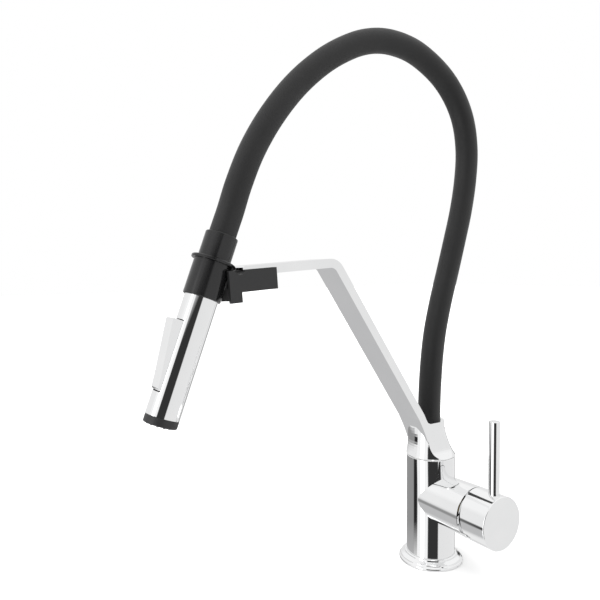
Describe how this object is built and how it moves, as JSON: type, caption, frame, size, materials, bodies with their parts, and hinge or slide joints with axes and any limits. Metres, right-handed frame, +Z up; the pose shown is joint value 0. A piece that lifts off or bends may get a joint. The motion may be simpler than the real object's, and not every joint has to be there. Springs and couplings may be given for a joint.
{
  "type": "kitchen faucet",
  "caption": "Single lever kitchen faucet with a swivelling flat bar arm, a high flexible hose arch and a hand spray hooked on a holder at the arm's end.",
  "frame": {"origin": "on the body axis at the deck plane, at the mouth of the central fixing hole", "axes": "+Z up along the body and the swivel axis; the arm and the spray reach towards -Y; the mixer branch and its handle point to +X"},
  "size_m": [0.1008, 0.2947, 0.4309],
  "materials": {
    "chrome": "polished",
    "black_gloss": "gloss",
    "black_satin": "satin",
    "hose_rubber": "matte",
    "seal_rubber": "matte",
    "brass": "machined",
    "steel": "machined",
    "magnet_nickel": "satin",
    "ceramic": "lapped",
    "acetal": "moulded",
    "grey_plastic": "moulded"
  },
  "bodies": {
    "base": {"deck_gasket": "seal_rubber", "base_flange": "chrome", "body_shell": "chrome", "swivel_spigot": "brass", "swivel_o_rings": "seal_rubber", "swivel_washer": "acetal", "cartridge_housing": "acetal", "port_seals": "seal_rubber", "ceramic_disc_fixed": "ceramic", "cartridge_nut": "brass", "cartridge_cover": "chrome"},
    "carrier": {"cartridge_carrier": "acetal", "stem_pivot_pin": "steel"},
    "handle": {"handle_cap": "chrome", "lever_pin": "chrome", "handle_set_screw": "steel", "cartridge_stem": "brass"},
    "disc": {"ceramic_disc_moving": "ceramic"},
    "neck": {"neck_arm": "chrome", "neck_grub_screw": "steel", "hose_ferrule_lower": "brass", "hose": "hose_rubber", "holder_bracket": "black_satin", "holder_screw": "steel", "dock_magnet": "magnet_nickel"},
    "hose_end": {"upper_collar": "black_gloss", "hose_ferrule_upper": "brass", "ferrule_o_ring": "seal_rubber"},
    "spray": {"lower_collar": "black_gloss", "spray_body": "chrome", "waterway": "grey_plastic", "check_valve": "acetal", "valve_spring": "steel", "paddle_pin": "steel", "spray_face": "black_satin", "aerator": "grey_plastic", "spray_nozzles": "grey_plastic"},
    "paddle": {"paddle_lever": "chrome"},
    "valve": {"valve_plunger": "acetal"}
  },
  "joints": [
    {"name": "arm_swivel", "type": "hinge", "parent": "base", "child": "neck", "pos_m": [0, 0, 0.0899], "axis": [0, 0, 1], "continuous": true},
    {"name": "handle_temperature", "type": "hinge", "parent": "base", "child": "carrier", "pos_m": [0.034, 0, 0.0556], "axis": [1, 0, 0], "range_deg": [-45, 45]},
    {"name": "handle_flow", "type": "hinge", "parent": "carrier", "child": "handle", "pos_m": [0.034, 0, 0.0556], "axis": [0, 1, 0], "range_deg": [0, 12]},
    {"name": "disc_slide", "type": "slide", "parent": "carrier", "child": "disc", "axis": [0, 0, 1], "range_m": [0, 0.0026]},
    {"name": "spray_swing", "type": "hinge", "parent": "neck", "child": "hose_end", "pos_m": [0, -0.18411, 0.24649], "axis": [1, 0, 0], "range_deg": [-20, 24], "deforming": ["hose"]},
    {"name": "spray_spin", "type": "hinge", "parent": "hose_end", "child": "spray", "pos_m": [0, -0.19628, 0.25105], "axis": [0, 0.3502, 0.9367], "continuous": true},
    {"name": "paddle_press", "type": "hinge", "parent": "spray", "child": "paddle", "pos_m": [0, -0.2317, 0.17461], "axis": [-1, 0, 0], "range_deg": [0, 3.2], "stiffness_Nm_per_rad": 0.3, "springref_deg": -5.73},
    {"name": "valve_push", "type": "slide", "parent": "spray", "child": "valve", "axis": [0, 0.9367, -0.3502], "range_m": [0, 0.0015]}
  ],
  "couplings": [
    {"joint": "disc_slide", "follows": "handle_flow", "m_per_rad": 0.0115},
    {"joint": "valve_push", "follows": "paddle_press", "m_per_rad": 0.024}
  ]
}
